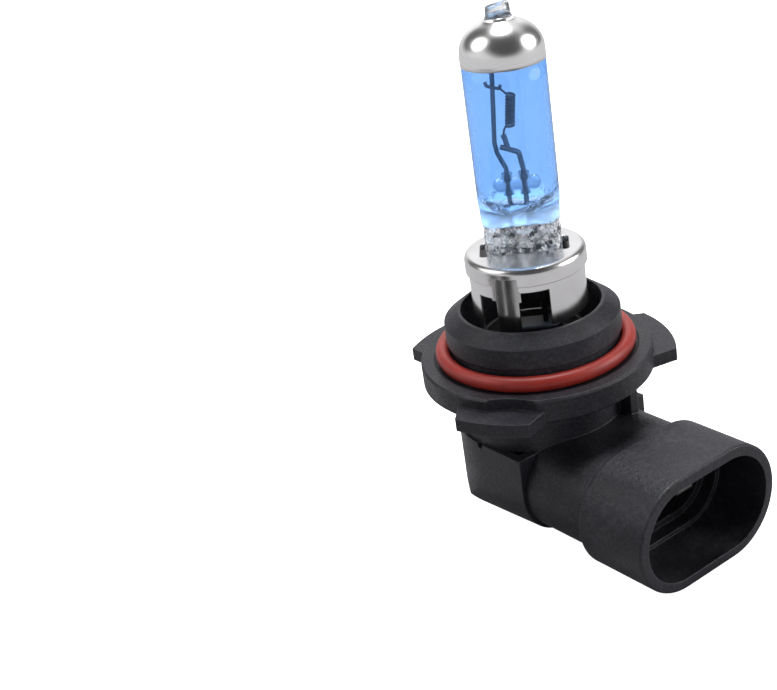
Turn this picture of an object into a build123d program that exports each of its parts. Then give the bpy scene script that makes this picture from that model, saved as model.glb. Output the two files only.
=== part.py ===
from build123d import *
import os
from math import cos, radians, sin

# Headlight bulb: a right-angle halogen capsule bulb on a P22d base.
#
# Frame: Z is the bulb's axis, up towards the glass tip. The origin is on that
# axis, in the front face of the mounting flange. +X is the way the connector
# points. All lengths are in millimetres.

# ---------------------------------------------------------------- base, round part
LIP_R = 11.0            # neck lip, 22 mm across
LIP_Z = 4.9             # outer edge of the sloping neck top
NECK_TOP_Z = 6.3        # inner edge of the sloping neck top
NECK_TOP_R = 9.15
BORE_R = 8.8
BORE_FLOOR_Z = 0.2
GROOVE_R = 10.7         # O-ring groove under the lip
GROOVE_TOP_Z = 2.1
SEAT_R = 12.9           # shallow seat of the O-ring in the flange
SEAT_DEPTH = 0.15
RING_R = 0.95           # O-ring section radius

FLANGE_R = 14.6
FLANGE_T = 3.15
LUG_R = 17.4
LUG_T = 1.65
LUG_ROOT_R = 14.0
LUGS = ((63.5, 19.5, 28.5), (-61.5, 15.5, 23.5), (192.5, 15.0, 22.5))
SCALLOP_ANGLE = -55.0   # shallow scallop in the flange's edge, above the front lug
SCALLOP_R = 9.0
SCALLOP_DEPTH = 0.9

HUB_R = 10.45
HUB_Z = -9.2            # underside of the hub, where the cover is welded on
BACK_FLAT_X = -8.2      # flat at the back of the hub and the cover
WEB_Z = -2.4            # underside of the web that closes the neck's bore

# ---------------------------------------------------------------- base, connector
CONN_Z = -14.4          # height of the connector's axis
SLOT_C = 4.05           # half the distance between the two ends of each oval
NECK_H = 6.3            # oval neck: half height
NECK_IN_H = 4.6
SPIGOT_H = 5.6          # reduced end of the neck, inside the cover
SPIGOT_X = 5.8
SHROUD_X = 17.4
MOUTH_X = 27.5
SHROUD_H = 7.4
SHROUD_IN_H = 6.05
LEDGE_H = 5.5           # step at the bottom of the shroud
LEDGE_X = 20.2
SHROUD_FLOOR_X = 18.4

# ---------------------------------------------------------------- rear cover
COVER_X = 7.3           # end of the cover on the connector side
COVER_H = 6.8
COVER_Y = 10.85         # half width, and the radius of the cover's round back
COVER_WALL = 1.3
COVER_SLOPE = 3.5       # degrees, the fall of the cover's underside to the back
FACET_TOP = (-8.2, -15.9)
FACET_BOTTOM = (-3.0, -22.0)
FACET_SOFT_R = 1.4

# ---------------------------------------------------------------- metal collar
SHEET = 0.38
CAP_R = 7.5
CAP_TOP_Z = 13.7
CAP_SKIRT_Z = 11.5
CAP_SOFT_R = 0.8
LEG_GAP_Z = 12.5        # top of the gaps that show the clip's legs
SLEEVE_R = CAP_R - SHEET
SLEEVE_TOP_Z = CAP_TOP_Z - SHEET
PANEL_Z = 6.0           # lower edge of the wide panels
CLIP_R = SLEEVE_R - SHEET
RING_TOP_Z = 0.7
SLOT_L = 10.9
SLOT_W = 4.3
TONGUE_MID = -64.5      # azimuth of the clip's front leg
TONGUE_HALF = 13.5
LEG_WAIST_Z = 9.2       # each leg is wider above this height

# ---------------------------------------------------------------- glass
GLASS_R = 4.95
GLASS_WALL = 0.9
TUBE_LOW_Z = 20.4
DOME_Z = 38.0
DOME_MID = (4.17, 40.28)
DOME_END = (2.2, 41.66)
GLASS_TOP_Z = 42.0
TIP_Z = 43.8
COAT_T = 0.08
MIRROR_T = 0.12
MIRROR_Z = 36.9
PINCH_W = 9.35
PINCH_T = 3.3
PINCH_TOP_Z = 17.2
PINCH_LOW_Z = 8.4
PINCH_ANGLE = 48.0      # azimuth of the pinch's wide direction

# ---------------------------------------------------------------- wires and terminals
WIRE_R = 0.28
LOWER_R = 0.32
WIRE_S = (-1.09, 0.93)  # where the two inner wires stand, along the pinch
WIRE_LOW_Z = 16.2
LEAD_TOP_Z = 11.6
LEAD_R = 0.35
FOIL_W = 2.0
FOIL_T = 0.12
FOIL_LOW_Z = 10.8
FOIL_TOP_Z = 16.9
FOIL_S = (-1.5, 1.35)
LEAD_S = (-1.9, 1.7)
COIL_S = 0.17           # the coil's place across the pinch
COIL_LOW_Z = 29.0
COIL_TOP_Z = 33.2
COIL_R = 0.62
COIL_TURNS = 11
COIL_WIRE_SIDES = 16    # the wire is drawn nearly round, in narrow flats
COIL_LEAN = 7.0         # degrees, the coil stands slightly askew
BEAD_Z = 22.0           # height of the bead that ties the wires
BLADE_W = 2.8
BLADE_T = 0.8
BLADE_Y = 3.2
BLADE_TIP_X = 21.0
RISER_X = -0.4
RISER_TOP_Z = -6.3

os.makedirs("parts", exist_ok=True)


def polar(radius, angle):
    """A point in plan, from its radius and its azimuth in degrees."""
    return (radius * cos(radians(angle)), radius * sin(radians(angle)))


def across(s, offset=0.0):
    """A point in plan, from its distance along and across the pinch."""
    ux, uy = polar(1.0, PINCH_ANGLE)
    return (s * ux + offset * uy, s * uy - offset * ux)


def save(builder, label):
    """Name a finished piece and write it as one STEP file."""
    builder.part.label = label
    export_step(builder.part, f"parts/{label}.step")


# The wires lie in one upright plane through the axis: its x runs along the
# pinch and its y is the height.
wire_plane = Plane(
    origin=(0, 0, 0),
    x_dir=(*polar(1.0, PINCH_ANGLE), 0),
    z_dir=(*polar(1.0, PINCH_ANGLE - 90), 0),
)
flat_plane = Plane(origin=(0, 0, 0), x_dir=(*polar(1.0, PINCH_ANGLE), 0), z_dir=(0, 0, 1))


# ================================================================ base housing
with BuildPart() as base_housing:
    with BuildSketch(Plane.XZ) as round_profile:
        with BuildLine():
            Polyline(
                (0, HUB_Z), (HUB_R, HUB_Z), (HUB_R, -FLANGE_T), (FLANGE_R - 0.3, -FLANGE_T),
                (FLANGE_R, -FLANGE_T + 0.3), (FLANGE_R, -0.25), (FLANGE_R - 0.25, 0),
                (SEAT_R, 0), (SEAT_R - 0.15, -SEAT_DEPTH), (GROOVE_R, -SEAT_DEPTH),
                (GROOVE_R, GROOVE_TOP_Z), (LIP_R, GROOVE_TOP_Z + 0.3), (LIP_R, LIP_Z),
                (NECK_TOP_R, NECK_TOP_Z), (BORE_R, NECK_TOP_Z), (BORE_R, BORE_FLOOR_Z),
                (0, BORE_FLOOR_Z), close=True,
            )
        make_face()
    revolve(axis=Axis.Z)

    # flat back of the hub
    with BuildSketch(Plane.XY.offset(HUB_Z)):
        with Locations((BACK_FLAT_X - 5, 0)):
            Rectangle(10, 30)
    extrude(amount=-FLANGE_T - HUB_Z, mode=Mode.SUBTRACT)

    # three bayonet lugs, flush with the back of the flange
    for lug_mid, outer_half, root_half in LUGS:
        with BuildSketch(Plane.XY.offset(-FLANGE_T)):
            with BuildLine():
                Line(polar(LUG_ROOT_R, lug_mid - root_half), polar(LUG_R, lug_mid - outer_half))
                ThreePointArc(
                    polar(LUG_R, lug_mid - outer_half),
                    polar(LUG_R, lug_mid),
                    polar(LUG_R, lug_mid + outer_half),
                )
                Line(polar(LUG_R, lug_mid + outer_half), polar(LUG_ROOT_R, lug_mid + root_half))
                ThreePointArc(
                    polar(LUG_ROOT_R, lug_mid + root_half),
                    polar(LUG_ROOT_R, lug_mid),
                    polar(LUG_ROOT_R, lug_mid - root_half),
                )
            make_face()
        extrude(amount=LUG_T)

    # scallop in the flange's edge
    with BuildSketch(Plane.XY):
        with Locations(polar(FLANGE_R - SCALLOP_DEPTH + SCALLOP_R, SCALLOP_ANGLE)):
            Circle(SCALLOP_R)
    extrude(amount=LUG_T - FLANGE_T, mode=Mode.SUBTRACT)

    # oval neck that carries the connector, with its reduced end under the hub
    with BuildSketch(Plane.YZ.offset(COVER_X)):
        with Locations((0, CONN_Z)):
            SlotCenterToCenter(2 * SLOT_C, 2 * NECK_H)
    extrude(amount=SHROUD_X - COVER_X)
    with BuildSketch(Plane.YZ.offset(SPIGOT_X)):
        with Locations((0, CONN_Z)):
            SlotCenterToCenter(2 * SLOT_C, 2 * SPIGOT_H)
    extrude(amount=COVER_X - SPIGOT_X)

    # shroud round the terminals
    with BuildSketch(Plane.YZ.offset(SHROUD_X)):
        with Locations((0, CONN_Z)):
            SlotCenterToCenter(2 * SLOT_C, 2 * SHROUD_H)
    extrude(amount=MOUTH_X - SHROUD_X)
    rim_edges = base_housing.edges().filter_by_position(Axis.X, MOUTH_X - 0.01, MOUTH_X + 0.01)
    fillet(rim_edges, radius=0.35)
    back_edges = (
        base_housing.faces()
        .filter_by(Axis.X)
        .filter_by_position(Axis.X, SHROUD_X - 0.01, SHROUD_X + 0.01)
        .sort_by(SortBy.AREA)[-1]
        .outer_wire()
        .edges()
    )
    fillet(back_edges, radius=0.5)

    # latch ramp on the underside of the shroud
    with BuildSketch(Plane.XZ) as ramp_profile:
        with BuildLine():
            Polyline(
                (18.6, CONN_Z - SHROUD_H + 0.3), (22.4, CONN_Z - SHROUD_H + 0.3),
                (22.4, CONN_Z - SHROUD_H - 0.1), (19.3, CONN_Z - SHROUD_H - 1.1),
                (18.6, CONN_Z - SHROUD_H - 1.1), close=True,
            )
        make_face()
    extrude(amount=1.7, both=True)

    # stiffening rib from the hub to the neck
    with BuildSketch(Plane.XY.offset(HUB_Z)):
        with Locations((9.4, 5.4)):
            Rectangle(3.6, 1.2)
    extrude(amount=-FLANGE_T - HUB_Z)

    # hollow of the shroud, its stepped floor and the neck's bore
    for start_x, end_x, half_height in (
        (LEDGE_X, MOUTH_X, SHROUD_IN_H),
        (SHROUD_FLOOR_X, LEDGE_X, LEDGE_H),
        (SPIGOT_X, SHROUD_FLOOR_X, NECK_IN_H),
    ):
        with BuildSketch(Plane.YZ.offset(start_x)):
            with Locations((0, CONN_Z)):
                SlotCenterToCenter(2 * SLOT_C, 2 * half_height)
        extrude(amount=end_x - start_x, mode=Mode.SUBTRACT)

    # wiring chamber under the web, and the oval passage for the leads
    with BuildSketch(Plane.XY.offset(HUB_Z)):
        with Locations((-0.25, 0)):
            RectangleRounded(11.5, 13.6, 1.0)
    extrude(amount=WEB_Z - HUB_Z, mode=Mode.SUBTRACT)
    with BuildSketch(flat_plane.offset(WEB_Z)):
        SlotOverall(8.4, 5.0)
    extrude(amount=BORE_FLOOR_Z - WEB_Z, mode=Mode.SUBTRACT)

    # locating lip for the cover
    with BuildSketch(Plane.XY.offset(HUB_Z - 0.9)):
        Circle(9.3)
        Circle(8.3, mode=Mode.SUBTRACT)
        with Locations((-2.5 - 10, 0)):
            Rectangle(20, 30, mode=Mode.SUBTRACT)
        with Locations((4.5 + 10, 0)):
            Rectangle(20, 30, mode=Mode.SUBTRACT)
    extrude(amount=0.9)
save(base_housing, "base_housing")


# ================================================================ rear cover
cover_fall = (-cos(radians(COVER_SLOPE)), 0, -sin(radians(COVER_SLOPE)))
with BuildPart() as rear_cover:
    # U-shaped section: upright sides and a round, oval bottom
    with BuildSketch(Plane.YZ.offset(COVER_X)):
        with Locations((0, CONN_Z)):
            SlotCenterToCenter(2 * SLOT_C, 2 * COVER_H)
        with Locations((0, (CONN_Z + HUB_Z) / 2 + 1)):
            Rectangle(2 * (SLOT_C + COVER_H), HUB_Z - CONN_Z + 2)
    extrude(amount=18, dir=cover_fall)
    split(bisect_by=Plane.XY.offset(HUB_Z), keep=Keep.BOTTOM)

    # round back with a flat
    with BuildSketch(Plane.XY.offset(HUB_Z)):
        Circle(COVER_Y)
        with Locations((COVER_X / 2, 0)):
            Rectangle(COVER_X, 2 * COVER_Y)
        with Locations((COVER_X + 10, 0)):
            Rectangle(20, 30, mode=Mode.SUBTRACT)
        with Locations((BACK_FLAT_X - 5, 0)):
            Rectangle(10, 30, mode=Mode.SUBTRACT)
    extrude(amount=-16, mode=Mode.INTERSECT)

    # slanted facet between the back and the underside
    facet_rise = (FACET_TOP[1] - FACET_BOTTOM[1]) / (FACET_TOP[0] - FACET_BOTTOM[0])
    with BuildSketch(Plane.XZ):
        with BuildLine():
            Polyline(
                (FACET_TOP[0] - 2, FACET_TOP[1] - 2 * facet_rise),
                (FACET_BOTTOM[0] + 3, FACET_BOTTOM[1] + 3 * facet_rise),
                (FACET_TOP[0] - 2, FACET_BOTTOM[1] + 3 * facet_rise),
                close=True,
            )
        make_face()
    extrude(amount=15, both=True, mode=Mode.SUBTRACT)
    facet_face = rear_cover.faces().sort_by(Axis((0, 0, 0), (-1, 0, -1)))[-1]
    fillet(facet_face.edges(), radius=FACET_SOFT_R)

    # hollow, open to the hub above, with an oval hole for the neck's reduced end
    with BuildSketch(Plane.YZ.offset(COVER_X - COVER_WALL)) as hollow_section:
        with Locations((0, CONN_Z)):
            SlotCenterToCenter(2 * SLOT_C, 2 * SPIGOT_H)
        with Locations((0, (CONN_Z + HUB_Z) / 2)):
            Rectangle(2 * (SLOT_C + SPIGOT_H), HUB_Z - CONN_Z)
    extrude(amount=-9, mode=Mode.SUBTRACT)
    with BuildSketch(Plane.XY.offset(HUB_Z)):
        with BuildLine():
            Polyline(
                (-2.9, 8.5), (-5.2, 7.6), (BACK_FLAT_X + COVER_WALL, 6.0),
                (BACK_FLAT_X + COVER_WALL, -6.0), (-5.2, -7.6), (-2.9, -8.5), close=True,
            )
        make_face()
    extrude(amount=-6.0, mode=Mode.SUBTRACT)
    with BuildSketch(Plane.YZ.offset(COVER_X)):
        with Locations((0, CONN_Z)):
            SlotCenterToCenter(2 * SLOT_C, 2 * SPIGOT_H)
    extrude(amount=-COVER_WALL, mode=Mode.SUBTRACT)

    # small pry notches in the top edge, one on each side
    with BuildSketch(Plane.XY.offset(HUB_Z)):
        with Locations((0, COVER_Y), (0, -COVER_Y)):
            Rectangle(0.9, 1.2)
    extrude(amount=-0.6, mode=Mode.SUBTRACT)
save(rear_cover, "rear_cover")


# ================================================================ O-ring
with BuildPart() as o_ring:
    with BuildSketch(Plane.XZ):
        with Locations((GROOVE_R + RING_R, RING_R - SEAT_DEPTH)):
            Circle(RING_R)
    revolve(axis=Axis.Z)
save(o_ring, "o_ring")


# ================================================================ wires inside the glass
def bent_wire(path_points, bend_radius, wire_radius, plane):
    """One round wire along a bent path drawn in an upright plane."""
    with BuildPart() as wire:
        with BuildLine(plane) as path:
            FilletPolyline(*path_points, radius=bend_radius)
        with BuildSketch(Plane(origin=path.line @ 0, z_dir=path.line % 0)):
            Circle(wire_radius)
        sweep(path=path.wires()[0])
    return wire


long_support_wire = bent_wire(
    ((-1.45, 35.8), (-2.1, 27.3), (-1.95, 26.1), (WIRE_S[0], 24.0), (WIRE_S[0], WIRE_LOW_Z)),
    0.5, WIRE_R, wire_plane,
)
save(long_support_wire, "long_support_wire")

lower_lead = bent_wire(
    ((-1.5, 26.75), (0.62, 25.9), (WIRE_S[1], 23.8), (WIRE_S[1], WIRE_LOW_Z)),
    0.5, LOWER_R, wire_plane,
)
save(lower_lead, "lower_lead")

# the hook crosses in front of the long wire and reaches the coil's top leg
hook_wire = bent_wire(
    ((-2.35, 34.9), (-2.25, 34.4), (-0.75, 33.9), (-0.6, 34.35)),
    0.2, 0.2, wire_plane.offset(WIRE_R + 0.2),
)
save(hook_wire, "hook_wire")

# sleeve that grips the coil's lower leg and stands on the lower lead
with BuildPart() as leg_sleeve:
    sleeve_low = wire_plane.from_local_coords(Vector(-0.55, 26.3, 0))
    sleeve_axis = wire_plane.from_local_coords(Vector(-0.95, 28.2, 0)) - sleeve_low
    with BuildSketch(Plane(origin=sleeve_low, z_dir=sleeve_axis)):
        Circle(0.33)
    extrude(amount=sleeve_axis.length)
    add(lower_lead.part, mode=Mode.SUBTRACT)
save(leg_sleeve, "leg_sleeve")

# the coil: one wire wound upwards, with a leg at each end
coil_wire_r = 0.15
coil_mid_r = COIL_R - coil_wire_r
coil_rise = COIL_TOP_Z - COIL_LOW_Z - 2 * coil_wire_r
coil_lean = radians(COIL_LEAN)
coil_low = Vector(COIL_S - sin(coil_lean) * coil_rise / 2, COIL_LOW_Z + coil_wire_r)
coil_way = Vector(sin(coil_lean), cos(coil_lean))
coil_side = Vector(-cos(coil_lean), sin(coil_lean)) * coil_mid_r
coil_frame = Plane(
    origin=wire_plane.from_local_coords(coil_low),
    x_dir=wire_plane.from_local_coords(coil_side) - wire_plane.from_local_coords(Vector(0, 0)),
    z_dir=wire_plane.from_local_coords(coil_way) - wire_plane.from_local_coords(Vector(0, 0)),
)
coil_start = coil_low + coil_side
coil_end = coil_start + coil_way * coil_rise
with BuildPart() as filament:
    with BuildLine() as coil_path:
        upright_coil = Helix(
            pitch=coil_rise / COIL_TURNS, height=coil_rise, radius=coil_mid_r, mode=Mode.PRIVATE
        )
        add(coil_frame.location * upright_coil)
    with BuildSketch(Plane(origin=coil_path.line @ 0, z_dir=coil_path.line % 0)):
        RegularPolygon(coil_wire_r, COIL_WIRE_SIDES)
    sweep(path=coil_path.wires()[0], is_frenet=True)
    with BuildLine(wire_plane) as low_leg:
        Polyline((coil_start.X, coil_start.Y), (-0.8, COIL_LOW_Z - 0.2), (-0.95, 28.1))
    with BuildSketch(Plane(origin=low_leg.line @ 0, z_dir=low_leg.line % 0)):
        Circle(0.12)
    sweep(path=low_leg.wires()[0], transition=Transition.ROUND)
    with BuildLine(wire_plane) as top_leg:
        Line((coil_end.X, coil_end.Y, 0), (-0.73, 33.93, 0.45))
    with BuildSketch(Plane(origin=top_leg.line @ 0, z_dir=top_leg.line % 0)):
        Circle(0.12)
    sweep(path=top_leg.wires()[0], transition=Transition.ROUND)
    add(hook_wire.part, mode=Mode.SUBTRACT)
    add(leg_sleeve.part, mode=Mode.SUBTRACT)
save(filament, "filament")

# glass bead that ties the two wires together
with BuildPart() as glass_bridge:
    bead_end = (*across(-2.0), BEAD_Z)
    with BuildSketch(Plane(origin=bead_end, z_dir=(*polar(1.0, PINCH_ANGLE), 0))):
        Circle(0.75)
    extrude(amount=4.0)
    with Locations(bead_end, (*across(2.0), BEAD_Z)):
        Sphere(0.88)
    for wire_s in WIRE_S:
        with BuildSketch(Plane.XY.offset(BEAD_Z - 1.3)):
            with Locations(across(wire_s)):
                Circle(0.66)
        extrude(amount=2.7)
    add(long_support_wire.part, mode=Mode.SUBTRACT)
    add(lower_lead.part, mode=Mode.SUBTRACT)
save(glass_bridge, "glass_bridge")


# ================================================================ outer leads and foils
def outer_lead(lead_s, side):
    """A lead from the pinch down to its terminal; side is -1 or +1 in Y."""
    x, y = across(lead_s)
    riser_x = RISER_X - BLADE_T - LEAD_R
    with BuildPart() as lead:
        with BuildLine() as path:
            FilletPolyline(
                (x, y, LEAD_TOP_Z), (x, y, -3.0), (riser_x, side * BLADE_Y, -5.3),
                (riser_x, side * BLADE_Y, -9.0), radius=0.9,
            )
        with BuildSketch(Plane(origin=path.line @ 0, z_dir=path.line % 0)):
            Circle(LEAD_R)
        sweep(path=path.wires()[0])
    return lead


outer_lead_left = outer_lead(LEAD_S[0], -1)
outer_lead_right = outer_lead(LEAD_S[1], 1)
save(outer_lead_left, "outer_lead_left")
save(outer_lead_right, "outer_lead_right")


def pinch_foil(foil_s, wires):
    """A molybdenum foil sealed in the pinch, cut round the wires welded to it."""
    with BuildPart() as foil:
        with BuildSketch(wire_plane.offset(-FOIL_T / 2)):
            with Locations((foil_s, (FOIL_LOW_Z + FOIL_TOP_Z) / 2)):
                Rectangle(FOIL_W, FOIL_TOP_Z - FOIL_LOW_Z)
        extrude(amount=FOIL_T)
        for wire in wires:
            add(wire.part, mode=Mode.SUBTRACT)
    return foil


foil_left = pinch_foil(FOIL_S[0], (long_support_wire, outer_lead_left))
foil_right = pinch_foil(FOIL_S[1], (lower_lead, outer_lead_right))
save(foil_left, "foil_left")
save(foil_right, "foil_right")


# ================================================================ glass envelope
with BuildPart() as glass_envelope:
    with BuildSketch(Plane.XZ):
        with BuildLine():
            Line((0, TUBE_LOW_Z), (GLASS_R, TUBE_LOW_Z))
            Line((GLASS_R, TUBE_LOW_Z), (GLASS_R, DOME_Z))
            ThreePointArc((GLASS_R, DOME_Z), DOME_MID, DOME_END)
            Polyline(DOME_END, (1.0, GLASS_TOP_Z), (0, GLASS_TOP_Z), (0, TUBE_LOW_Z))
        make_face()
    revolve(axis=Axis.Z)

    # the tube is pressed flat below its lower end
    with BuildSketch(flat_plane.offset(TUBE_LOW_Z)):
        Circle(GLASS_R)
    with BuildSketch(flat_plane.offset(PINCH_TOP_Z)):
        RectangleRounded(PINCH_W, PINCH_T, 1.2)
    loft()
    with BuildSketch(flat_plane.offset(PINCH_LOW_Z)):
        RectangleRounded(PINCH_W, PINCH_T, 1.2)
    extrude(amount=PINCH_TOP_Z - PINCH_LOW_Z)
    with BuildSketch(flat_plane.offset(PINCH_LOW_Z + 0.6)):
        with Locations((PINCH_W / 2 - 0.75, 0), (0.75 - PINCH_W / 2, 0)):
            RectangleRounded(1.4, PINCH_T + 0.6, 0.5)
    extrude(amount=PINCH_TOP_Z - PINCH_LOW_Z - 1.0)

    # sealed-off tip, nipped to a chisel
    with BuildSketch(flat_plane.offset(GLASS_TOP_Z - 0.6)):
        RectangleRounded(3.3, 3.0, 1.2)
    with BuildSketch(flat_plane.offset(TIP_Z)):
        RectangleRounded(2.4, 1.2, 0.5)
    loft()

    # the pinch is moulded round the foils, the wires and the leads
    with BuildSketch(wire_plane.offset(-FOIL_T / 2)):
        for foil_s in FOIL_S:
            with Locations((foil_s, (FOIL_LOW_Z + FOIL_TOP_Z) / 2)):
                Rectangle(FOIL_W, FOIL_TOP_Z - FOIL_LOW_Z)
    extrude(amount=FOIL_T, mode=Mode.SUBTRACT)
    for centre_s, radius, low_z, high_z in (
        (WIRE_S[0], WIRE_R, WIRE_LOW_Z, TUBE_LOW_Z + 0.5),
        (WIRE_S[1], LOWER_R, WIRE_LOW_Z, TUBE_LOW_Z + 0.5),
        (LEAD_S[0], LEAD_R, PINCH_LOW_Z, LEAD_TOP_Z),
        (LEAD_S[1], LEAD_R, PINCH_LOW_Z, LEAD_TOP_Z),
    ):
        with BuildSketch(Plane.XY.offset(low_z)):
            with Locations(across(centre_s)):
                Circle(radius)
        extrude(amount=high_z - low_z, mode=Mode.SUBTRACT)

    # sealed gas space
    with BuildSketch(Plane.XZ):
        with BuildLine():
            Line((0, TUBE_LOW_Z + 0.1), (2.4, TUBE_LOW_Z + 0.1))
            ThreePointArc(
                (2.4, TUBE_LOW_Z + 0.1), (3.6, TUBE_LOW_Z + 0.55), (GLASS_R - GLASS_WALL, TUBE_LOW_Z + 1.7)
            )
            Line((GLASS_R - GLASS_WALL, TUBE_LOW_Z + 1.7), (GLASS_R - GLASS_WALL, DOME_Z))
            ThreePointArc((GLASS_R - GLASS_WALL, DOME_Z), (3.25, 39.85), (1.2, 40.85))
            Polyline((1.2, 40.85), (0, 40.85), (0, TUBE_LOW_Z + 0.1))
        make_face()
    revolve(axis=Axis.Z, mode=Mode.SUBTRACT)
save(glass_envelope, "glass_envelope")

with BuildPart() as blue_coating:
    with BuildSketch(Plane.XY.offset(TUBE_LOW_Z)):
        Circle(GLASS_R + COAT_T)
        Circle(GLASS_R, mode=Mode.SUBTRACT)
    extrude(amount=MIRROR_Z - TUBE_LOW_Z)
save(blue_coating, "blue_coating")

with BuildPart() as mirror_cap:
    with BuildSketch(Plane.XZ):
        with BuildLine():
            Line((GLASS_R, MIRROR_Z), (GLASS_R, DOME_Z))
            ThreePointArc((GLASS_R, DOME_Z), DOME_MID, DOME_END)
            Line(DOME_END, (DOME_END[0] + 0.05, DOME_END[1] + MIRROR_T))
            ThreePointArc(
                (DOME_END[0] + 0.05, DOME_END[1] + MIRROR_T),
                (DOME_MID[0] + 0.085, DOME_MID[1] + 0.085),
                (GLASS_R + MIRROR_T, DOME_Z),
            )
            Line((GLASS_R + MIRROR_T, DOME_Z), (GLASS_R + MIRROR_T, MIRROR_Z))
            Line((GLASS_R + MIRROR_T, MIRROR_Z), (GLASS_R, MIRROR_Z))
        make_face()
    revolve(axis=Axis.Z)
save(mirror_cap, "mirror_cap")


# ================================================================ metal collar
def sector(inner_r, outer_r, start_angle, end_angle):
    """A flat piece of a ring between two azimuths, drawn as a face."""
    middle = (start_angle + end_angle) / 2
    with BuildLine() as outline:
        Line(polar(inner_r, start_angle), polar(outer_r, start_angle))
        ThreePointArc(
            polar(outer_r, start_angle), polar(outer_r, middle), polar(outer_r, end_angle)
        )
        Line(polar(outer_r, end_angle), polar(inner_r, end_angle))
        ThreePointArc(
            polar(inner_r, end_angle), polar(inner_r, middle), polar(inner_r, start_angle)
        )
    make_face(outline.edges())


with BuildPart() as collar_cap:
    with BuildSketch(Plane.XY.offset(CAP_SKIRT_Z)):
        Circle(CAP_R)
    extrude(amount=CAP_TOP_Z - CAP_SKIRT_Z)
    fillet(collar_cap.edges().group_by(Axis.Z)[-1], radius=CAP_SOFT_R)
    with BuildSketch(Plane.XY.offset(CAP_SKIRT_Z)):
        Circle(SLEEVE_R)
    extrude(amount=SLEEVE_TOP_Z - CAP_SKIRT_Z, mode=Mode.SUBTRACT)
    with BuildSketch(flat_plane.offset(SLEEVE_TOP_Z)):
        RectangleRounded(SLOT_L, SLOT_W, 0.5)
    extrude(amount=SHEET, mode=Mode.SUBTRACT)
    # the skirt is open in front of both legs of the clip
    for turn in (0, 180):
        with BuildSketch(Plane.XY.offset(CAP_SKIRT_Z)):
            sector(
                SLEEVE_R - 1, CAP_R + 1,
                TONGUE_MID - TONGUE_HALF + turn, TONGUE_MID + TONGUE_HALF + turn,
            )
        extrude(amount=LEG_GAP_Z - CAP_SKIRT_Z, mode=Mode.SUBTRACT)
save(collar_cap, "collar_cap")

with BuildPart() as collar_sleeve:
    with BuildSketch(Plane.XY.offset(RING_TOP_Z)):
        Circle(SLEEVE_R)
        Circle(CLIP_R, mode=Mode.SUBTRACT)
    extrude(amount=SLEEVE_TOP_Z - RING_TOP_Z)
    # each half has a window, a gap for the clip's leg, a second window, and a
    # wide panel that stops above the bore; two narrow feet reach the mount ring
    for turn in (0, 180):
        for start_angle, end_angle, top_z in (
            (-97.0, -78.0, 9.7),
            (-78.01, -51.0, LEG_GAP_Z),
            (-51.01, -20.5, 10.6),
            (-20.51, 76.0, PANEL_Z),
        ):
            with BuildSketch(Plane.XY.offset(RING_TOP_Z - 0.1)):
                sector(CLIP_R - 1.5, SLEEVE_R + 1, start_angle + turn, end_angle + turn)
            extrude(amount=top_z - RING_TOP_Z + 0.1, mode=Mode.SUBTRACT)
save(collar_sleeve, "collar_sleeve")

with BuildPart() as pinch_clip:
    # plate under the cap, with a slot for the pinch
    with BuildSketch(flat_plane.offset(SLEEVE_TOP_Z - SHEET)):
        Circle(CLIP_R)
        Rectangle(SLOT_L, PINCH_T + 0.9, mode=Mode.SUBTRACT)
    extrude(amount=SHEET)
    # two curved legs, and two jaws that grip the pinch's flat faces
    for turn in (0, 180):
        for low_z, high_z, spread in (
            (RING_TOP_Z, LEG_WAIST_Z, 0.0),
            (LEG_WAIST_Z, SLEEVE_TOP_Z - SHEET, 5.5),
        ):
            with BuildSketch(Plane.XY.offset(low_z)):
                sector(
                    CLIP_R - SHEET, CLIP_R,
                    TONGUE_MID - TONGUE_HALF + 1.0 - spread + turn,
                    TONGUE_MID + TONGUE_HALF - 1.0 + spread / 2 + turn,
                )
            extrude(amount=high_z - low_z)
    with BuildSketch(flat_plane.offset(SLEEVE_TOP_Z - 2.0)):
        with Locations((0, PINCH_T / 2 + 0.225 + 0.15), (0, -PINCH_T / 2 - 0.225 - 0.15)):
            Rectangle(5.2, 0.45 + 0.3)
    extrude(amount=2.0)
save(pinch_clip, "pinch_clip")

with BuildPart() as mount_ring:
    with BuildSketch(Plane.XY.offset(BORE_FLOOR_Z)):
        Circle(SLEEVE_R)
        Circle(4.7, mode=Mode.SUBTRACT)
    extrude(amount=RING_TOP_Z - BORE_FLOOR_Z)
    with BuildSketch(Plane.XY.offset(RING_TOP_Z)):
        Circle(CLIP_R - SHEET)
        Circle(CLIP_R - 2 * SHEET, mode=Mode.SUBTRACT)
    extrude(amount=1.8)
save(mount_ring, "mount_ring")


# ================================================================ insulation round the leads
with BuildPart() as lead_insulator:
    with BuildSketch(flat_plane.offset(BORE_FLOOR_Z)):
        SlotOverall(7.4, 3.6)
    extrude(amount=3.4)
    fillet(lead_insulator.edges().group_by(Axis.Z)[-1], radius=0.4)
    add(outer_lead_left.part, mode=Mode.SUBTRACT)
    add(outer_lead_right.part, mode=Mode.SUBTRACT)
save(lead_insulator, "lead_insulator")

with BuildPart() as lead_seal:
    with BuildSketch(flat_plane.offset(WEB_Z)):
        SlotOverall(8.4, 5.0)
    extrude(amount=BORE_FLOOR_Z - WEB_Z)
    add(outer_lead_left.part, mode=Mode.SUBTRACT)
    add(outer_lead_right.part, mode=Mode.SUBTRACT)
save(lead_seal, "lead_seal")


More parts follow.
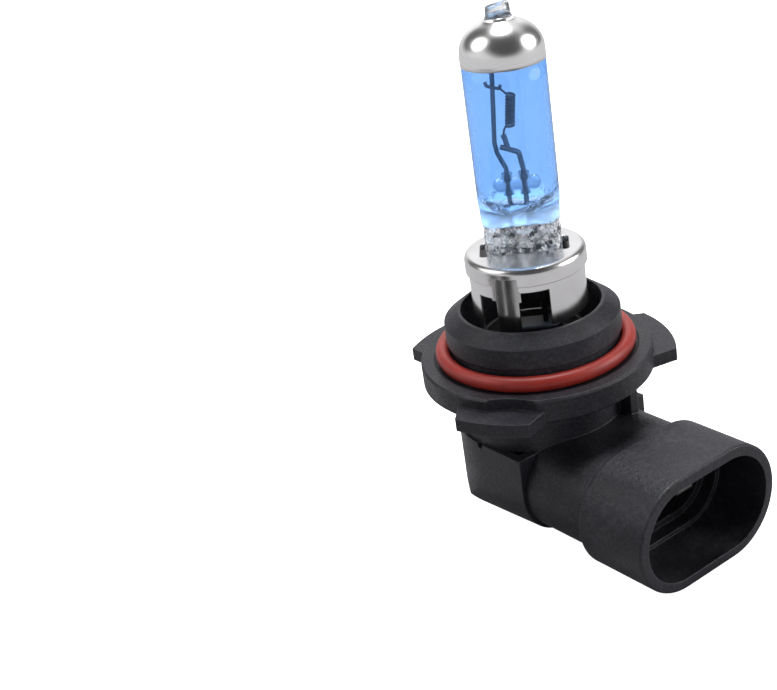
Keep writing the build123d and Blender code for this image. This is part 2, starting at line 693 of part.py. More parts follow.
# ================================================================ terminals
def terminal(side):
    """A bent strip: an upright riser, and a blade that points to the mouth."""
    with BuildPart() as strip:
        with BuildSketch(Plane.XZ.offset(-side * BLADE_Y)) as bend:
            with BuildLine():
                Polyline(
                    (RISER_X - BLADE_T, RISER_TOP_Z), (RISER_X, RISER_TOP_Z),
                    (RISER_X, CONN_Z + BLADE_T / 2), (BLADE_TIP_X, CONN_Z + BLADE_T / 2),
                    (BLADE_TIP_X, CONN_Z - BLADE_T / 2), (RISER_X - BLADE_T, CONN_Z - BLADE_T / 2),
                    close=True,
                )
            make_face()
            outer_corner = bend.vertices().sort_by_distance((RISER_X - BLADE_T, -side * 0, CONN_Z))[0]
            fillet(outer_corner, radius=BLADE_T)
        extrude(amount=BLADE_W / 2, both=True)
        tip_edges = strip.edges().filter_by_position(
            Axis.X, BLADE_TIP_X - 0.01, BLADE_TIP_X + 0.01
        )
        chamfer(tip_edges, length=0.25)
    return strip


terminal_left = terminal(-1)
terminal_right = terminal(1)
save(terminal_left, "terminal_left")
save(terminal_right, "terminal_right")


def weld_clamp(side):
    """A folded clamp round a riser and the lead that lies along it."""
    riser_mid = RISER_X - BLADE_T / 2
    lead_x = RISER_X - BLADE_T - LEAD_R
    with BuildPart() as clamp:
        with BuildSketch(Plane.XY.offset(-8.6)):
            with Locations((riser_mid - LEAD_R, side * BLADE_Y)):
                RectangleRounded(BLADE_T + 2 * LEAD_R + 0.6, BLADE_W + 0.7, 0.3)
            with Locations((riser_mid, side * BLADE_Y)):
                Rectangle(BLADE_T, BLADE_W, mode=Mode.SUBTRACT)
            with Locations((lead_x, side * BLADE_Y)):
                Rectangle(2 * LEAD_R, 2 * LEAD_R, mode=Mode.SUBTRACT)
        extrude(amount=1.9)
    return clamp


save(weld_clamp(-1), "weld_clamp_left")
save(weld_clamp(1), "weld_clamp_right")

with BuildPart() as terminal_carrier:
    with BuildSketch(Plane.YZ.offset(9.0)):
        with Locations((0, CONN_Z)):
            SlotCenterToCenter(2 * SLOT_C, 2 * NECK_IN_H)
    extrude(amount=5.5)
    add(terminal_left.part, mode=Mode.SUBTRACT)
    add(terminal_right.part, mode=Mode.SUBTRACT)
save(terminal_carrier, "terminal_carrier")
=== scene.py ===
from math import cos, pi, radians, sin

import bmesh
import bpy
from mathutils import Matrix, Vector, noise


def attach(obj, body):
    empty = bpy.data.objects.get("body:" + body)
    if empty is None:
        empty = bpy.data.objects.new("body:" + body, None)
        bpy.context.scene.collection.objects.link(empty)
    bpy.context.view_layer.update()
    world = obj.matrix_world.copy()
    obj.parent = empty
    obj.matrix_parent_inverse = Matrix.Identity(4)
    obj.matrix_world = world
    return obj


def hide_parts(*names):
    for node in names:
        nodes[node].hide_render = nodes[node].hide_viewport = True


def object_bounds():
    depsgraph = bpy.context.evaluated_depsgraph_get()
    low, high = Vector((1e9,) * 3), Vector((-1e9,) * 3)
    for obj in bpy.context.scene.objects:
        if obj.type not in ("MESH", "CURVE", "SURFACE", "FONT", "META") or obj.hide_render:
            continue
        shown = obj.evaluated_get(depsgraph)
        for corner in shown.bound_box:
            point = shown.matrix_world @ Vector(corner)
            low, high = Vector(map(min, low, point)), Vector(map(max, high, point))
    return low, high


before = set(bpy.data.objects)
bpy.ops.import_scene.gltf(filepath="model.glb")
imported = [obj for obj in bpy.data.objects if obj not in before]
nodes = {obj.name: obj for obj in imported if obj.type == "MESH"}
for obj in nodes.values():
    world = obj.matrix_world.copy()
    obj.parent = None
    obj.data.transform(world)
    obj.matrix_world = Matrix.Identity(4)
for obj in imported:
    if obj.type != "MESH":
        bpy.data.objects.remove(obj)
cad_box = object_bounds()
scene = bpy.context.scene
MM = 0.001

PINCH_ANGLE = radians(48.0)     # azimuth of the glass pinch's wide direction
ALONG = Vector((cos(PINCH_ANGLE), sin(PINCH_ANGLE), 0.0))
ACROSS = Vector((sin(PINCH_ANGLE), -cos(PINCH_ANGLE), 0.0))


# ---------------------------------------------------------------- node helpers
class Shader:
    """A node material with one Principled shader, built up by small calls."""

    def __init__(self, name):
        self.mat = bpy.data.materials.new(name)
        self.mat.use_nodes = True
        self.tree = self.mat.node_tree
        self.tree.nodes.clear()
        self.out = self.node("ShaderNodeOutputMaterial")
        self.bsdf = self.node("ShaderNodeBsdfPrincipled")
        self.link(self.bsdf.outputs[0], self.out.inputs[0])
        self.coord = self.node("ShaderNodeTexCoord").outputs["Object"]

    def node(self, kind, **settings):
        made = self.tree.nodes.new(kind)
        for key, value in settings.items():
            setattr(made, key, value)
        return made

    def link(self, a, b):
        self.tree.links.new(a, b)

    def put(self, socket, value):
        """Sets a socket from a plain value or from another socket."""
        if isinstance(value, bpy.types.NodeSocket):
            self.link(value, socket)
        else:
            socket.default_value = value

    def set(self, **values):
        for key, value in values.items():
            self.put(self.bsdf.inputs[key.replace("_", " ")], value)

    def noise(self, scale, detail=3.0, rough=0.5, stretch=None):
        source = self.coord
        if stretch:
            scaled = self.node("ShaderNodeMapping")
            scaled.inputs["Scale"].default_value = stretch
            self.link(source, scaled.inputs["Vector"])
            source = scaled.outputs[0]
        made = self.node("ShaderNodeTexNoise")
        made.inputs["Scale"].default_value = scale
        made.inputs["Detail"].default_value = detail
        made.inputs["Roughness"].default_value = rough
        self.link(source, made.inputs["Vector"])
        return made.outputs["Fac"]

    def remap(self, value, a, b, c, d, smooth=False):
        """Maps a to b onto c to d, held at the ends."""
        made = self.node("ShaderNodeMapRange")
        if smooth:
            made.interpolation_type = "SMOOTHSTEP"
        self.put(made.inputs["Value"], value)
        for name, number in (("From Min", a), ("From Max", b), ("To Min", c), ("To Max", d)):
            made.inputs[name].default_value = number
        return made.outputs[0]

    def math(self, operation, a, b=0.0):
        made = self.node("ShaderNodeMath", operation=operation)
        self.put(made.inputs[0], a)
        self.put(made.inputs[1], b)
        return made.outputs[0]

    def mix(self, factor, a, b):
        """Blends two colours."""
        made = self.node("ShaderNodeMix", data_type="RGBA")
        self.put(made.inputs["Factor"], factor)
        self.put(made.inputs[6], a)
        self.put(made.inputs[7], b)
        return made.outputs[2]

    def axis(self, letter):
        """One coordinate of the surface point, in metres."""
        split = self.node("ShaderNodeSeparateXYZ")
        self.link(self.coord, split.inputs[0])
        return split.outputs[letter]

    def round_edges(self, radius):
        """A normal that runs smoothly over edges."""
        bevel = self.node("ShaderNodeBevel", samples=6)
        bevel.inputs["Radius"].default_value = radius
        return bevel.outputs[0]

    def worn(self, radius):
        """1 on sharp edges and 0 elsewhere."""
        soft_normal = self.round_edges(radius)
        geometry = self.node("ShaderNodeNewGeometry")
        dot = self.node("ShaderNodeVectorMath", operation="DOT_PRODUCT")
        self.link(soft_normal, dot.inputs[0])
        self.link(geometry.outputs["Normal"], dot.inputs[1])
        return self.remap(dot.outputs["Value"], 0.75, 1.0, 1.0, 0.0)

    def bump(self, height, distance, strength=1.0, normal=None):
        made = self.node("ShaderNodeBump")
        made.inputs["Strength"].default_value = strength
        made.inputs["Distance"].default_value = distance
        self.link(height, made.inputs["Height"])
        if normal is not None:
            self.link(normal, made.inputs["Normal"])
        return made.outputs[0]

    def lamp_light(self):
        """Lets lamps light what is behind this clear surface."""
        path = self.node("ShaderNodeLightPath")
        clear = self.node("ShaderNodeBsdfTransparent")
        blend = self.node("ShaderNodeMixShader")
        self.link(path.outputs["Is Shadow Ray"], blend.inputs[0])
        self.link(self.bsdf.outputs[0], blend.inputs[1])
        self.link(clear.outputs[0], blend.inputs[2])
        self.link(blend.outputs[0], self.out.inputs[0])


def darker(tint, factor):
    """The same colour at a lower brightness."""
    return tuple(part * factor for part in tint[:3]) + (1,)


def dress(names, shader):
    """Gives a material to CAD nodes that keep their own shape."""
    for name in names:
        data = nodes[name].data
        data.materials.clear()
        data.materials.append(shader.mat)


# ---------------------------------------------------------------- materials
def black_plastic(name, grain, gloss):
    """Glass-filled charcoal plastic: mould grain, fine specks, scuffs and pale edges."""
    s = Shader(name)
    fine = s.noise(4200.0, 4.0, 0.6)
    coarse = s.noise(1500.0, 3.0, 0.55)
    cloud = s.noise(160.0, 4.0, 0.55)
    speck = s.noise(3800.0, 3.0, 0.6)
    edge = s.worn(0.00022)
    clouded = s.remap(cloud, 0.35, 0.65, 0.0, 1.0)
    colour = s.mix(clouded, (0.0080, 0.0078, 0.0110, 1), (0.0145, 0.0141, 0.0188, 1))
    colour = s.mix(s.remap(speck, 0.46, 0.70, 0.0, 0.5), colour, (0.044, 0.043, 0.053, 1))
    patches = s.remap(cloud, 0.48, 0.66, 0.0, 1.0)
    scuff = s.math("MULTIPLY", patches, s.remap(coarse, 0.42, 0.62, 0.0, 0.55))
    colour = s.mix(scuff, colour, (0.045, 0.044, 0.051, 1))
    colour = s.mix(s.math("MULTIPLY", edge, 0.6), colour, (0.115, 0.114, 0.125, 1))
    height = s.math("ADD", s.math("MULTIPLY", fine, 0.6), coarse)
    s.set(
        Base_Color=colour,
        Roughness=s.remap(s.math("ADD", fine, cloud), 0.75, 1.25, gloss - 0.1, gloss + 0.14),
        Specular_IOR_Level=0.36,
        Normal=s.bump(height, grain, 1.0, s.round_edges(0.0002)),
    )
    return s


def silicone(name, colour, deep):
    """Moulded silicone: cloudy colour, a dusty satin skin and a little light inside."""
    s = Shader(name)
    cloud = s.noise(420.0, 3.0, 0.5)
    dust = s.noise(7000.0, 3.0, 0.6)
    s.set(
        Base_Color=s.mix(s.remap(cloud, 0.3, 0.7, 0.0, 1.0), deep, colour),
        Roughness=s.remap(dust, 0.3, 0.7, 0.34, 0.52),
        Normal=s.bump(dust, 0.000006),
        Subsurface_Weight=0.12,
        Subsurface_Scale=0.0006,
    )
    s.bsdf.inputs["Subsurface Radius"].default_value = (1.0, 0.25, 0.15)
    return s


def pressed_metal(name, tint, rough_low, rough_high):
    """Bright nickel plate on pressed sheet, with drawing marks and rounded cut edges."""
    s = Shader(name)
    drawn = s.noise(500.0, 3.0, 0.5, stretch=(1.0, 1.0, 0.5))
    cloud = s.noise(260.0, 3.0, 0.5)
    fine = s.noise(6500.0, 2.0, 0.5)
    height = s.math("ADD", cloud, s.math("MULTIPLY", fine, 0.03))
    s.set(
        Base_Color=s.mix(s.remap(cloud, 0.3, 0.7, 0.0, 1.0), tint, darker(tint, 0.86)),
        Metallic=1.0,
        Roughness=s.remap(drawn, 0.3, 0.7, rough_low, rough_high),
        Normal=s.bump(height, 0.00004, 0.3, s.round_edges(0.00015)),
    )
    return s


def wire_metal(name, tint, rough):
    """Drawn wire, streaked along its length."""
    s = Shader(name)
    drawn = s.noise(1500.0, 3.0, 0.6, stretch=(1.0, 1.0, 0.12))
    s.set(
        Base_Color=s.mix(drawn, tint, darker(tint, 0.55)),
        Metallic=1.0,
        Roughness=s.remap(drawn, 0.3, 0.7, rough - 0.08, rough + 0.1),
        Normal=s.bump(drawn, 0.00001, 0.5),
    )
    return s


def clear_glass(name, tint, rough):
    """Quartz: nearly clear, with faint draw lines. The pinch is crinkled, veined and folded, with
    painted shade in dark patches across its folds.
    """
    s = Shader(name)
    wave = s.noise(240.0, 2.0, 0.4, stretch=(1.0, 1.0, 0.3))
    crinkle = s.noise(1500.0, 4.0, 0.6)
    pinched = s.remap(s.axis("Z"), 0.0165, 0.0185, 1.0, 0.02, smooth=True)
    tip = s.remap(s.axis("Z"), 0.0417, 0.0420, 0.0, 0.1, smooth=True)
    height = s.math("ADD", s.math("MULTIPLY", wave, 0.02), s.math("MULTIPLY", crinkle, pinched))
    veins = s.remap(s.noise(1150.0, 4.0, 0.65), 0.46, 0.56, 0.0, 0.9)
    milky = s.math("MAXIMUM", s.math("MULTIPLY", veins, pinched), tip)
    # Dark patches in the pinch's colour are painted shade for the dark refractions in its folds.
    painted_shade_folds = s.remap(s.noise(900.0, 3.0, 0.7), 0.53, 0.60, 0.0, 1.0)
    s.set(
        # The near-black mix colour is that painted shade.
        Base_Color=s.mix(s.math("MULTIPLY", painted_shade_folds, pinched), tint, (0.07, 0.07, 0.075, 1)),
        Roughness=rough,
        IOR=1.46,
        Transmission_Weight=s.math("SUBTRACT", 1.0, milky),
        Normal=s.bump(height, 0.00026, 0.8),
    )
    s.lamp_light()
    return s


def blue_film():
    """The thin blue filter coat: it tints what is behind it and has a soft gloss.

    It gathers and turns hazy round the tube's lower shoulder.
    """
    s = Shader("blue_filter_film")
    cloud = s.noise(120.0, 2.0, 0.4)
    clouded = s.remap(cloud, 0.3, 0.7, 0.0, 1.0)
    clear = s.node("ShaderNodeBsdfTransparent")
    s.link(s.mix(clouded, (0.665, 0.815, 0.985, 1), (0.695, 0.835, 0.99, 1)), clear.inputs[0])

    through = s.node("ShaderNodeBsdfTranslucent")
    surface = s.node("ShaderNodeBsdfDiffuse")
    for part in (through, surface):
        part.inputs["Color"].default_value = (0.80, 0.90, 1.0, 1)
    haze = s.node("ShaderNodeAddShader")
    s.link(through.outputs[0], haze.inputs[0])
    s.link(surface.outputs[0], haze.inputs[1])
    coat = s.node("ShaderNodeMixShader")
    s.link(s.remap(s.axis("Z"), 0.0180, 0.0210, 0.34, 0.0, smooth=True), coat.inputs[0])
    s.link(clear.outputs[0], coat.inputs[1])
    s.link(haze.outputs[0], coat.inputs[2])

    gloss = s.node("ShaderNodeBsdfGlossy")
    gloss.inputs["Color"].default_value = (1, 1, 1, 1)
    s.put(gloss.inputs["Roughness"], s.remap(cloud, 0.3, 0.7, 0.02, 0.06))
    fresnel = s.node("ShaderNodeFresnel")
    fresnel.inputs["IOR"].default_value = 1.3
    behind = s.node("ShaderNodeNewGeometry").outputs["Backfacing"]
    shine = s.math("MULTIPLY", fresnel.outputs[0], s.math("SUBTRACT", 1.0, behind))
    blend = s.node("ShaderNodeMixShader")
    s.link(shine, blend.inputs[0])
    s.link(coat.outputs[0], blend.inputs[1])
    s.link(gloss.outputs[0], blend.inputs[2])
    s.link(blend.outputs[0], s.out.inputs[0])
    return s


def silvering():
    """The mirror coat, softer in a band along its lower edge."""
    s = Shader("silvered_tip_coat")
    cloud = s.noise(200.0, 4.0, 0.55)
    fine = s.noise(5000.0, 2.0, 0.5)
    low_band = s.remap(s.axis("Z"), 0.0369, 0.0381, 1.0, 0.0, smooth=True)
    rough = s.remap(cloud, 0.3, 0.7, 0.20, 0.26)
    s.set(
        Base_Color=s.mix(cloud, (0.80, 0.79, 0.77, 1), (0.88, 0.87, 0.86, 1)),
        Metallic=1.0,
        Roughness=s.math("ADD", rough, s.math("MULTIPLY", low_band, 0.16)),
        Normal=s.bump(s.math("ADD", cloud, s.math("MULTIPLY", fine, 0.05)), 0.00003, 0.3),
    )
    return s


plastic_base = black_plastic("charcoal_moulded_base", 0.00006, 0.46)
plastic_cover = black_plastic("charcoal_moulded_cover", 0.00005, 0.44)
ring_rubber = silicone("red_silicone", (0.34, 0.026, 0.018, 1), (0.26, 0.02, 0.013, 1))
seal_rubber = silicone("dark_seal_silicone", (0.02, 0.02, 0.021, 1), (0.012, 0.012, 0.013, 1))
nickel = pressed_metal("bright_nickel_sheet", (0.76, 0.745, 0.735, 1), 0.2, 0.27)
nickel_clip = pressed_metal("bright_nickel_clip", (0.52, 0.51, 0.50, 1), 0.16, 0.26)
# The tin plate's tint is set far darker than plated metal. This is painted shade for the terminals,
# mount ring and weld clamps, which sit in shadow inside the base.
tin = pressed_metal("tin_plate_painted_shade", (0.20, 0.195, 0.19, 1), 0.35, 0.5)
wire = wire_metal("molybdenum_wire", (0.16, 0.17, 0.19, 1), 0.35)
foil = wire_metal("molybdenum_foil", (0.62, 0.62, 0.63, 1), 0.4)
tungsten = wire_metal("tungsten_coil", (0.12, 0.12, 0.13, 1), 0.42)
bead_glass = clear_glass("bead_glass", (0.62, 0.67, 0.72, 1), 0.2)
tube_glass = clear_glass("quartz_glass", (0.985, 0.99, 1.0, 1), 0.0)
film = blue_film()
silver = silvering()

dress(["base_housing"], plastic_base)
dress(["rear_cover", "lead_insulator", "terminal_carrier"], plastic_cover)
dress(["o_ring"], ring_rubber)
dress(["lead_seal"], seal_rubber)
dress(["collar_cap", "collar_sleeve"], nickel)
dress(["pinch_clip"], nickel_clip)
dress(["terminal_left", "terminal_right", "mount_ring", "weld_clamp_left", "weld_clamp_right"], tin)
dress(["long_support_wire", "lower_lead", "hook_wire", "leg_sleeve", "outer_lead_left",
       "outer_lead_right"], wire)
dress(["foil_left", "foil_right"], foil)
dress(["filament"], tungsten)
dress(["glass_bridge"], bead_glass)


# ---------------------------------------------------------------- mesh helpers
def finish_piece(name, bm, shader, cad_name):
    """Turns a bmesh into a named piece that rides on the part and stands for a CAD node."""
    mesh = bpy.data.meshes.new(name)
    bm.to_mesh(mesh)
    bm.free()
    for face in mesh.polygons:
        face.use_smooth = True
    obj = bpy.data.objects.new(name, mesh)
    scene.collection.objects.link(obj)
    mesh.materials.append(shader.mat)
    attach(obj, "root")
    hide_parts(cad_name)


def join_rings(bm, low, high):
    """Fills the space between two closed rings of vertices with faces."""
    count = len(low)
    for i in range(count):
        j = (i + 1) % count
        bm.faces.new((low[i], low[j], high[j], high[i]))


def closed_shell(rings):
    """A shell through closed rings of points, shut by a flat face at each end."""
    bm = bmesh.new()
    made = [[bm.verts.new(p) for p in points] for points in rings]
    for low, high in zip(made, made[1:]):
        join_rings(bm, low, high)
    bm.faces.new(list(reversed(made[0])))
    bm.faces.new(made[-1])
    bmesh.ops.recalc_face_normals(bm, faces=bm.faces)
    return bm


def closed_skin(rings):
    """A thin skin: its rings run along one side, back along the other and meet."""
    bm = bmesh.new()
    made = [[bm.verts.new(p) for p in points] for points in rings]
    for low, high in zip(made, made[1:] + made[:1]):
        join_rings(bm, low, high)
    bmesh.ops.recalc_face_normals(bm, faces=bm.faces)
    return bm


# ---------------------------------------------------------------- glass, in mm
SEGMENTS = 112
TUBE_R = 4.93
CAVITY_R = 4.07
SHOULDER_Z = 20.4       # the tube starts to close above the pinch
PINCH_TOP = 17.3
PINCH_LOW = 8.4
PINCH_A = 4.66          # half width of the pinch
PINCH_B = 1.6           # half thickness of the pinch
PINCH_POWER = 4.5       # squareness of its section, where 2 is an ellipse
FADE = 0.9              # height over which its crinkles run out
CAP_TOP = 12.9          # the collar's disc hides the pinch below this
DOME_Z = 38.0
DOME_RISE = 4.0
CAVITY_RISE = 2.85
TIP_ROOT_Z = 41.72
TIP_H = 1.94
MIRROR_EDGE = 36.95
FILM_GAP = (0.02, 0.06)     # the film's two faces above the glass
SILVER_R = 4.955
SILVER_T = 0.07


def clamp(value, low=0.0, high=1.0):
    return min(high, max(low, value))


def heights(low, high, step):
    count = max(1, round((high - low) / step))
    return [low + (high - low) * i / count for i in range(count + 1)]


def angles():
    return [2 * pi * k / SEGMENTS for k in range(SEGMENTS)]


def dome(radius, rise, z):
    """Radius of a full, slightly square-shouldered dome at a height."""
    u = max(0.0, (z - DOME_Z) / rise)
    return radius * max(0.0, 1.0 - u ** 2.2) ** 0.5


def oval(angle, a, b, power):
    """A point of a rounded oval: a along the pinch, b across it."""
    c, s = cos(angle), sin(angle)
    x = a * abs(c) ** (2.0 / power) * (1 if c > 0 else -1)
    y = b * abs(s) ** (2.0 / power) * (1 if s > 0 else -1)
    return x, y


def place(x, y, z):
    """From mm along and across the pinch to metres in the part's frame."""
    return (ALONG * x + ACROSS * y + Vector((0, 0, z))) * MM


def circle(radius, z):
    return [place(radius * cos(angle), radius * sin(angle), z) for angle in angles()]


def outer_section(z):
    """Half width, half thickness and squareness of the glass at a height."""
    if z >= DOME_Z:
        r = dome(TUBE_R, DOME_RISE, z)
        return r, r, 2.0
    if z >= SHOULDER_Z:
        return TUBE_R, TUBE_R, 2.0
    if z > PINCH_TOP:
        t = (SHOULDER_Z - z) / (SHOULDER_Z - PINCH_TOP)
        thick = PINCH_B + (TUBE_R - PINCH_B) * (1 - t ** 2.2) ** 0.5
        return TUBE_R - (TUBE_R - PINCH_A) * t, thick, 2.0 + (PINCH_POWER - 2.0) * t * t
    return PINCH_A, PINCH_B, PINCH_POWER


def crinkled(x, y, z):
    """Moves a point of the pinch to the lumps, folds and raised rims that the jaws left."""
    depth = clamp((PINCH_TOP + FADE - z) / FADE)
    seen = clamp((z - CAP_TOP) / 0.8, low=0.15)
    p = Vector((x * 0.95, y * 0.4, z * 0.8))
    lump = noise.noise(p + Vector((3.1, 0, 7.7)))
    lump += 0.55 * noise.noise(p * 2.3 + Vector((9.2, 4.0, 0)))
    fold = abs(noise.noise(p * 1.5 + Vector((0, 5.5, 2.0)))) ** 0.6 - 0.5
    rim = 0.32 * max(0.0, 1.0 - abs(abs(x) - 4.0) / 0.75)
    push = (0.55 * lump + 0.5 * fold + rim) * depth * seen
    side = 1.0 if y > 0 else -1.0
    flat = min(1.0, abs(y) / 1.2)
    narrow = 1.0 + 0.03 * noise.noise(Vector((z * 1.3, side, 1.0))) * depth
    return x * narrow, y + side * flat * clamp(push, -0.7, 0.5)


def ring(z, grow=0.0):
    """The glass's outer section at a height as a closed ring of points."""
    a, b, power = outer_section(z)
    points = []
    for angle in angles():
        x, y = oval(angle, a + grow, b + grow, power)
        if z < PINCH_TOP + FADE:
            x, y = crinkled(x, y, z)
        points.append(place(x, y, z))
    return points


def glass_rings():
    levels = heights(PINCH_LOW, PINCH_TOP + 0.6, 0.16) + heights(PINCH_TOP + 0.75, SHOULDER_Z, 0.2)
    levels += heights(21.4, 37.0, 2.6) + heights(DOME_Z, 41.55, 0.14)
    return [ring(z) for z in levels]


def tip_rings():
    """The nipped-off end: round at its root, a twisted chisel with a dent at its top."""
    rings = []
    steps = 14
    for i in range(steps + 1):
        t = i / steps
        root = min(1.0, t * 4)
        end = 1.2 * max(0.0, t - 0.9)
        a = 1.95 - 0.42 * root - 0.22 * t - end
        b = 1.9 - 0.5 * root - 0.72 * t * t - end
        twist = radians(-26.0) * t
        points = []
        for angle in angles():
            x, y = oval(angle, a, b, 2.0 + 3.0 * t)
            dent = 0.42 * max(0.0, 1 - ((x - 0.65) / 0.7) ** 2) * max(0.0, min(1.0, t * 3) - 0.2)
            y = y - dent if y > 0 else y
            px = x * cos(twist) - y * sin(twist)
            py = x * sin(twist) + y * cos(twist)
            points.append(place(px, py, TIP_ROOT_Z + TIP_H * t + 0.10 * t * px))
        rings.append(points)
    return rings


def cavity_rings():
    """The gas space inside the tube, with an uneven floor above the pinch."""
    rings = []
    steps = 14
    for i in range(1, steps + 1):
        t = i / steps
        r = CAVITY_R * sin(t * pi / 2)
        z = 18.85 + 2.5 * (1 - cos(t * pi / 2))
        points = []
        for angle in angles():
            x, y = r * cos(angle), r * sin(angle)
            wave = noise.noise(Vector((x * 0.8, y * 0.8, 2.2)))
            wave += 0.5 * noise.noise(Vector((x * 2.0, y * 2.0, 5.0)))
            points.append(place(x, y, z + 0.55 * wave * (1 - t) ** 0.5))
        rings.append(points)
    levels = heights(22.6, 37.0, 2.4) + heights(DOME_Z, 40.75, 0.2)
    return rings + [circle(dome(CAVITY_R, CAVITY_RISE, z), z) for z in levels]


def make_quartz_bulb():
    """The outer shell and, turned inside out, the shell of the gas space."""
    bm = closed_shell(glass_rings() + tip_rings())
    hollow = closed_shell(cavity_rings())
    bmesh.ops.reverse_faces(hollow, faces=hollow.faces)
    hollow_mesh = bpy.data.meshes.new("hollow")
    hollow.to_mesh(hollow_mesh)
    hollow.free()
    bm.from_mesh(hollow_mesh)
    bpy.data.meshes.remove(hollow_mesh)
    finish_piece("quartz_bulb", bm, tube_glass, "glass_envelope")


def make_blue_film():
    """The film follows the tube from the silver's edge down round its shoulder."""
    levels = heights(PINCH_TOP + 0.55, SHOULDER_Z, 0.2) + heights(21.4, MIRROR_EDGE, 2.6)
    inner, outer = FILM_GAP
    rings = [ring(z, inner) for z in levels] + [ring(z, outer) for z in reversed(levels)]
    finish_piece("blue_film", closed_skin(rings), film, "blue_coating")


def make_silvered_cap():
    """The silver coat covers the dome and flares up the root of the tip."""
    profile = [(MIRROR_EDGE + 0.02, SILVER_R), (37.5, SILVER_R)]
    profile += [(z, dome(SILVER_R, DOME_RISE, z)) for z in heights(DOME_Z, 41.6, 0.12)]
    profile += [(TIP_ROOT_Z, 1.98), (41.84, 1.76), (41.98, 1.62), (42.2, 1.545)]
    rings = []
    for z, r in profile + [(z, r + SILVER_T) for z, r in reversed(profile)]:
        points = []
        for angle in angles():
            ragged = noise.noise(Vector((cos(angle) * 2.2, sin(angle) * 2.2, 4.0)))
            drop = 0.09 * ragged if z < 37.0 else 0.0
            points.append(place(r * cos(angle), r * sin(angle), z + drop))
        rings.append(points)
    finish_piece("silvered_cap", closed_skin(rings), silver, "mirror_cap")


make_quartz_bulb()
make_blue_film()
make_silvered_cap()


# ---------------------------------------------------------------- floor, light, camera
def stage_floor(z):
    """A plain white table that looks evenly bright and throws little light back at the part.

    It is open from below, so that low views show the part's underside.
    """
    bm = bmesh.new()
    bmesh.ops.create_circle(bm, cap_ends=True, segments=96, radius=6.0)
    mesh = bpy.data.meshes.new("floor")
    bm.to_mesh(mesh)
    bm.free()
    floor = bpy.data.objects.new("floor", mesh)
    floor.location = (0.0, 0.0, z)
    scene.collection.objects.link(floor)
    s = Shader("pale_floor")
    path = s.node("ShaderNodeLightPath")
    colour = s.mix(path.outputs["Is Diffuse Ray"], (0.86, 0.86, 0.86, 1), (0.17, 0.17, 0.175, 1))
    colour = s.mix(path.outputs["Is Glossy Ray"], colour, (0.44, 0.44, 0.455, 1))
    colour = s.mix(path.outputs["Is Transmission Ray"], colour, (0.79, 0.79, 0.79, 1))
    s.set(
        Base_Color=colour,
        Roughness=0.9,
        Specular_IOR_Level=0.1,
        Emission_Color=(1.0, 1.0, 1.0, 1),
        Emission_Strength=path.outputs["Is Camera Ray"],
    )
    clear = s.node("ShaderNodeBsdfTransparent")
    sides = s.node("ShaderNodeMixShader")
    s.link(s.node("ShaderNodeNewGeometry").outputs["Backfacing"], sides.inputs[0])
    s.link(s.bsdf.outputs[0], sides.inputs[1])
    s.link(clear.outputs[0], sides.inputs[2])
    s.link(sides.outputs[0], s.out.inputs[0])
    mesh.materials.append(s.mat)


def dark_flag(name, azimuth, distance, width, low, high):
    """A black card beside the part. Only reflections see it."""
    way = Vector((cos(radians(azimuth)), sin(radians(azimuth)), 0.0))
    side = Vector((-way.y, way.x, 0.0)) * width / 2
    corners = [way * distance + side * a + Vector((0, 0, z))
               for a, z in ((-1, low), (1, low), (1, high), (-1, high))]
    mesh = bpy.data.meshes.new(name)
    mesh.from_pydata([tuple(c) for c in corners], [], [(0, 1, 2, 3)])
    flag = bpy.data.objects.new(name, mesh)
    scene.collection.objects.link(flag)
    flag.visible_camera = False
    flag.visible_diffuse = False
    flag.visible_shadow = False
    flag.visible_transmission = False
    s = Shader(name)
    s.set(Base_Color=(0.01, 0.01, 0.012, 1), Roughness=0.9)
    mesh.materials.append(s.mat)


def soft_lamp(name, direction, spread, strength, shines=True):
    """A large softbox so far away that it lights everything evenly."""
    data = bpy.data.lights.new(name, "SUN")
    data.energy = strength
    data.angle = radians(spread)
    lamp = bpy.data.objects.new(name, data)
    lamp.rotation_mode = "QUATERNION"
    lamp.rotation_quaternion = Vector(direction).to_track_quat("Z", "Y")
    lamp.visible_glossy = shines
    scene.collection.objects.link(lamp)


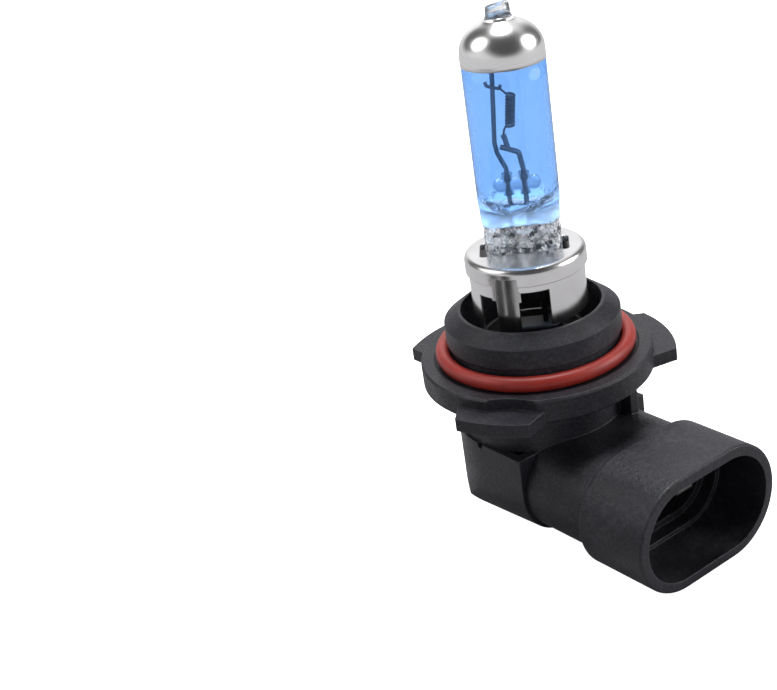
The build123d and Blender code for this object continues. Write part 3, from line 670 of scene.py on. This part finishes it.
def studio_world(backdrop, room, mirrored_room, stretches):
    """A pale room with darker and lighter stretches between its softboxes.

    The first three numbers are its brightness to the camera, to matt surfaces and in reflections.
    A stretch is a direction, the cosines where it starts and is full, and its factor there.
    """
    world = bpy.data.worlds.new("studio")
    scene.world = world
    world.use_nodes = True
    tree = world.node_tree
    tree.nodes.clear()

    def node(kind, **settings):
        made = tree.nodes.new(kind)
        for key, value in settings.items():
            setattr(made, key, value)
        return made

    def combine(operation, a, b):
        made = node("ShaderNodeMath", operation=operation)
        tree.links.new(a, made.inputs[0])
        tree.links.new(b, made.inputs[1])
        return made.outputs[0]

    out = node("ShaderNodeOutputWorld")
    back = node("ShaderNodeBackground")
    back.inputs["Color"].default_value = (0.965, 0.972, 1.0, 1)
    coord = node("ShaderNodeTexCoord")
    path = node("ShaderNodeLightPath")
    base = node("ShaderNodeMix")
    base.inputs[2].default_value = room
    base.inputs[3].default_value = mirrored_room
    tree.links.new(path.outputs["Is Glossy Ray"], base.inputs["Factor"])
    level = base.outputs[0]
    for way, start, full, factor in stretches:
        dot = node("ShaderNodeVectorMath", operation="DOT_PRODUCT")
        dot.inputs[1].default_value = Vector(way).normalized()
        tree.links.new(coord.outputs["Generated"], dot.inputs[0])
        ramp = node("ShaderNodeMapRange", interpolation_type="SMOOTHSTEP")
        ramp.inputs["From Min"].default_value = start
        ramp.inputs["From Max"].default_value = full
        ramp.inputs["To Min"].default_value = 1.0
        ramp.inputs["To Max"].default_value = factor
        tree.links.new(dot.outputs["Value"], ramp.inputs["Value"])
        level = combine("MULTIPLY", level, ramp.outputs[0])
    seen = combine("MAXIMUM", path.outputs["Is Camera Ray"], path.outputs["Is Transmission Ray"])
    pale = node("ShaderNodeMix")
    pale.inputs[3].default_value = backdrop
    tree.links.new(seen, pale.inputs["Factor"])
    tree.links.new(level, pale.inputs[2])
    tree.links.new(pale.outputs[0], back.inputs["Strength"])
    tree.links.new(back.outputs[0], out.inputs[0])


def set_camera(location, view_way, roll, lens):
    data = bpy.data.cameras.new("camera")
    data.sensor_width = 36.0
    data.lens = lens
    data.clip_start = 0.01
    data.clip_end = 50.0
    camera = bpy.data.objects.new("camera", data)
    scene.collection.objects.link(camera)
    camera.location = location
    level = Vector(view_way).to_track_quat("-Z", "Y").to_matrix()
    camera.rotation_mode = "QUATERNION"
    camera.rotation_quaternion = (level @ Matrix.Rotation(radians(roll), 3, "Z")).to_quaternion()
    scene.camera = camera


floor_z = cad_box[0][2]
stage_floor(floor_z)
# two cards make the dark edges of the clip's front leg, with a bright line between them
dark_flag("flag_left", -102.0, 0.055, 0.017, floor_z, 0.012)
dark_flag("flag_right", -80.0, 0.055, 0.017, floor_z, 0.012)
soft_lamp("softbox_left", (-0.434, -0.594, 0.677), 42.0, 0.75)
soft_lamp("softbox_right", (0.581, 0.703, 0.412), 38.0, 1.6)
soft_lamp("softbox_top", (-0.175, 0.177, 0.969), 17.0, 2.6)
soft_lamp("fill_front", (0.93, -0.25, 0.28), 30.0, 0.6, shines=False)
studio_world(1.05, 0.70, 0.78, (
    ((0.583, -0.251, 0.774), 0.40, 0.82, 0.10),
    ((-0.72, -0.25, 0.65), 0.74, 0.93, 0.15),
    ((0.20, 0.93, 0.30), 0.76, 0.94, 0.15),
    ((-0.75, 0.50, 0.43), 0.86, 0.97, 1.5),
))
scene.view_settings.view_transform = "Standard"
set_camera((0.128488, -0.108113, 0.082032), (-0.75161, 0.50381, -0.42575), -9.18, 68.39)
